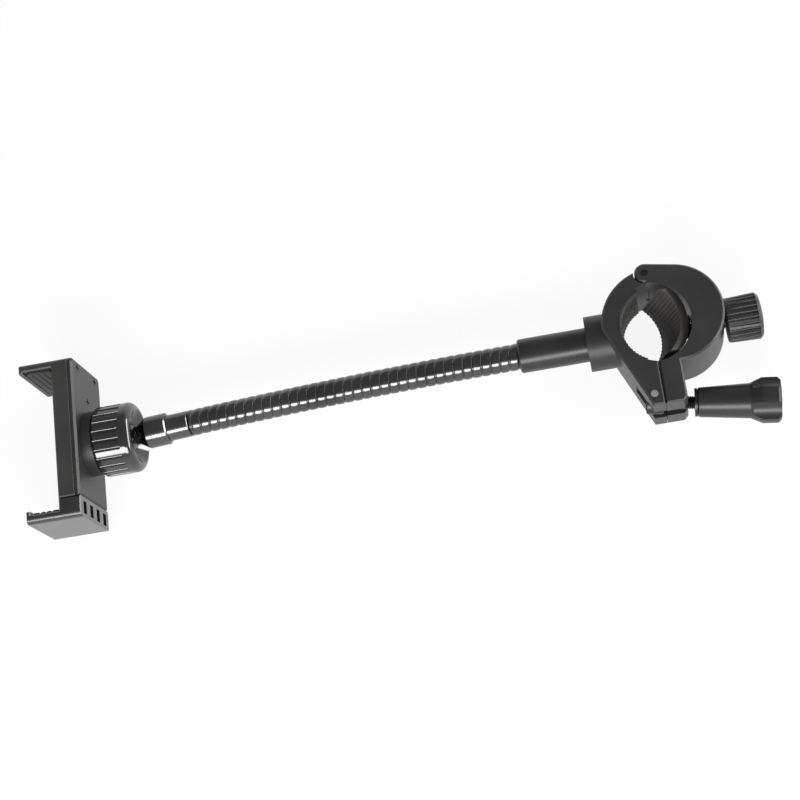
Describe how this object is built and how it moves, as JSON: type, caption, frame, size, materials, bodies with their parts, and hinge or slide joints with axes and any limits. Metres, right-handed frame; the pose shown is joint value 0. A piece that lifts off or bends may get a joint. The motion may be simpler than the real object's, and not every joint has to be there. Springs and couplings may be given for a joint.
{
  "type": "phone gooseneck holder",
  "caption": "Phone cradle with a spring-loaded sliding jaw on a ball joint, carried by a ribbed gooseneck arm on a hinged pole clamp with a swing bolt and a pressure pad.",
  "frame": {"origin": "middle of the clamp's bore, on the pole's axis", "axes": "+Z along the pole, arm towards -X, pressure knob on +X, clamp hinge on +Y, swing bolt on -Y"},
  "size_m": [0.2942, 0.07, 0.032],
  "materials": {
    "black_plastic": "fine grained matte black moulding",
    "gloss_plastic": "polished black moulding",
    "knob_plastic": "satin dark grey moulding",
    "coated_steel": "glossy black coating",
    "satin_steel": "satin black coating",
    "dark_steel": "black oxide",
    "bright_steel": "bright zinc",
    "brass": "turned",
    "liner_rubber": "dull dark brown-black rubber",
    "pad_rubber": "dull black rubber"
  },
  "bodies": {
    "clamp": {"clamp_base": "black_plastic", "base_liner": "liner_rubber", "hinge_pin": "dark_steel", "swing_pin": "bright_steel", "arm_screw": "dark_steel", "clamp_sleeve": "satin_steel"},
    "bolt": {"swing_bolt": "dark_steel"},
    "washer": {"bolt_washer": "dark_steel"},
    "bolt_knob": {"bolt_knob": "knob_plastic", "knob_insert": "brass"},
    "jaw": {"clamp_jaw": "black_plastic", "jaw_insert": "brass"},
    "screw_tip": {"screw_tip": "dark_steel"},
    "pad": {"pressure_pad": "black_plastic", "pad_facing": "liner_rubber"},
    "press_screw": {"pressure_screw": "dark_steel", "pressure_knob": "knob_plastic"},
    "link_1": {"neck_link_1": "coated_steel"},
    "link_2": {"neck_link_2": "coated_steel"},
    "link_3": {"neck_link_3": "coated_steel"},
    "link_4": {"neck_link_4": "coated_steel"},
    "link_5": {"neck_link_5": "coated_steel"},
    "link_6": {"neck_link_6": "coated_steel"},
    "link_7": {"neck_link_7": "coated_steel"},
    "link_8": {"neck_link_8": "coated_steel"},
    "link_9": {"neck_link_9": "coated_steel"},
    "neck_end": {"neck_ferrule": "coated_steel", "cradle_sleeve": "coated_steel", "ball_stud": "coated_steel"},
    "ball": {"swivel_ball": "gloss_plastic"},
    "seat": {"ball_seat": "black_plastic"},
    "cradle": {"cradle_cover": "black_plastic", "cradle_body": "black_plastic", "cover_screws": "dark_steel", "face_pad": "pad_rubber", "upper_pad": "pad_rubber", "jaw_spring": "bright_steel"},
    "nut": {"ring_nut": "gloss_plastic"},
    "slide_jaw": {"sliding_jaw": "black_plastic", "lower_pad": "pad_rubber"}
  },
  "joints": [
    {"name": "bolt_swing", "type": "hinge", "parent": "clamp", "child": "bolt", "pos_m": [-0.0066, -0.028, 0], "axis": [0, 0, 1], "range_deg": [-165, 0]},
    {"name": "jaw_open", "type": "hinge", "parent": "clamp", "child": "jaw", "pos_m": [-0.0026, 0.02, 0], "axis": [0, 0, 1], "range_deg": [0, 34]},
    {"name": "washer_run", "type": "slide", "parent": "bolt", "child": "washer", "axis": [0.9903, -0.1392, 0], "range_m": [-0.0013, 0.02]},
    {"name": "knob_turn", "type": "hinge", "parent": "washer", "child": "bolt_knob", "pos_m": [-0.0066, -0.028, 0], "axis": [0.9903, -0.1392, 0], "range_deg": [-585, 9000]},
    {"name": "pad_run", "type": "slide", "parent": "jaw", "child": "screw_tip", "axis": [1, 0, 0], "range_m": [0, 0.0042]},
    {"name": "pad_tip", "type": "hinge", "parent": "screw_tip", "child": "pad", "pos_m": [0.009, 0, 0], "axis": [0, 1, 0], "range_deg": [-20, 0]},
    {"name": "pressure_turn", "type": "hinge", "parent": "screw_tip", "child": "press_screw", "pos_m": [0.02, 0, 0], "axis": [1, 0, 0], "range_deg": [0, 1512]},
    {"name": "neck_sway", "type": "hinge", "parent": "clamp", "child": "link_1", "pos_m": [-0.0558, 0, 0], "axis": [0.0087, 0, 1], "range_deg": [-11, 11]},
    {"name": "neck_nod", "type": "hinge", "parent": "link_1", "child": "link_2", "pos_m": [-0.07052, -0.00016, 0], "axis": [-0.0112, 0.9999, 0], "range_deg": [-11, 11]},
    {"name": "sway_3", "type": "hinge", "parent": "link_2", "child": "link_3", "pos_m": [-0.08524, -0.00033, 0], "axis": [0.0087, 0, 1], "range_deg": [-11, 11]},
    {"name": "nod_4", "type": "hinge", "parent": "link_3", "child": "link_4", "pos_m": [-0.09995, -0.00066, 0], "axis": [-0.0223, 0.9998, 0], "range_deg": [-11, 11]},
    {"name": "sway_5", "type": "hinge", "parent": "link_4", "child": "link_5", "pos_m": [-0.11467, -0.00099, 0], "axis": [0.0087, 0, 1], "range_deg": [-11, 11]},
    {"name": "nod_6", "type": "hinge", "parent": "link_5", "child": "link_6", "pos_m": [-0.12938, -0.00148, 0], "axis": [-0.0335, 0.9994, 0], "range_deg": [-11, 11]},
    {"name": "sway_7", "type": "hinge", "parent": "link_6", "child": "link_7", "pos_m": [-0.14409, -0.00197, 0], "axis": [0.0087, 0, 1], "range_deg": [-11, 11]},
    {"name": "nod_8", "type": "hinge", "parent": "link_7", "child": "link_8", "pos_m": [-0.1588, -0.00263, 0], "axis": [-0.0447, 0.999, 0], "range_deg": [-11, 11]},
    {"name": "sway_9", "type": "hinge", "parent": "link_8", "child": "link_9", "pos_m": [-0.1735, -0.00329, 0], "axis": [0.0087, 0, 1], "range_deg": [-11, 11]},
    {"name": "nod_10", "type": "hinge", "parent": "link_9", "child": "neck_end", "pos_m": [-0.1882, -0.00411, 0], "axis": [-0.0558, 0.9984, 0], "range_deg": [-11, 11]},
    {"name": "ball_spin", "type": "hinge", "parent": "neck_end", "child": "ball", "pos_m": [-0.21945, -0.00586, 0], "axis": [-0.9984, -0.0558, 0], "continuous": true},
    {"name": "ball_pan", "type": "hinge", "parent": "ball", "child": "seat", "pos_m": [-0.21945, -0.00586, 0], "axis": [0, 0, 1], "range_deg": [-14, 14]},
    {"name": "ball_tilt", "type": "hinge", "parent": "seat", "child": "cradle", "pos_m": [-0.21945, -0.00586, 0], "axis": [0, 1, 0], "range_deg": [-14, 14]},
    {"name": "nut_turn", "type": "hinge", "parent": "cradle", "child": "nut", "pos_m": [-0.21945, -0.00586, 0], "axis": [1, 0, 0], "continuous": true},
    {"name": "jaw_slide", "type": "slide", "parent": "cradle", "child": "slide_jaw", "axis": [0, -1, 0], "range_m": [0, 0.03], "stiffness_N_per_m": 170, "springref_m": -0.03, "deforming": ["jaw_spring"]}
  ],
  "couplings": [
    {"joint": "jaw_open", "follows": "bolt_swing", "ratio": -0.2},
    {"joint": "washer_run", "follows": "knob_turn", "m_per_rad": 0.00012732},
    {"joint": "pad_run", "follows": "pressure_turn", "m_per_rad": 0.00015915},
    {"joint": "pad_tip", "follows": "pressure_turn", "ratio": -0.013228},
    {"joint": "sway_3", "follows": "neck_sway", "ratio": 1},
    {"joint": "nod_4", "follows": "neck_nod", "ratio": 1},
    {"joint": "sway_5", "follows": "neck_sway", "ratio": 1},
    {"joint": "nod_6", "follows": "neck_nod", "ratio": 1},
    {"joint": "sway_7", "follows": "neck_sway", "ratio": 1},
    {"joint": "nod_8", "follows": "neck_nod", "ratio": 1},
    {"joint": "sway_9", "follows": "neck_sway", "ratio": 1},
    {"joint": "nod_10", "follows": "neck_nod", "ratio": 1}
  ]
}
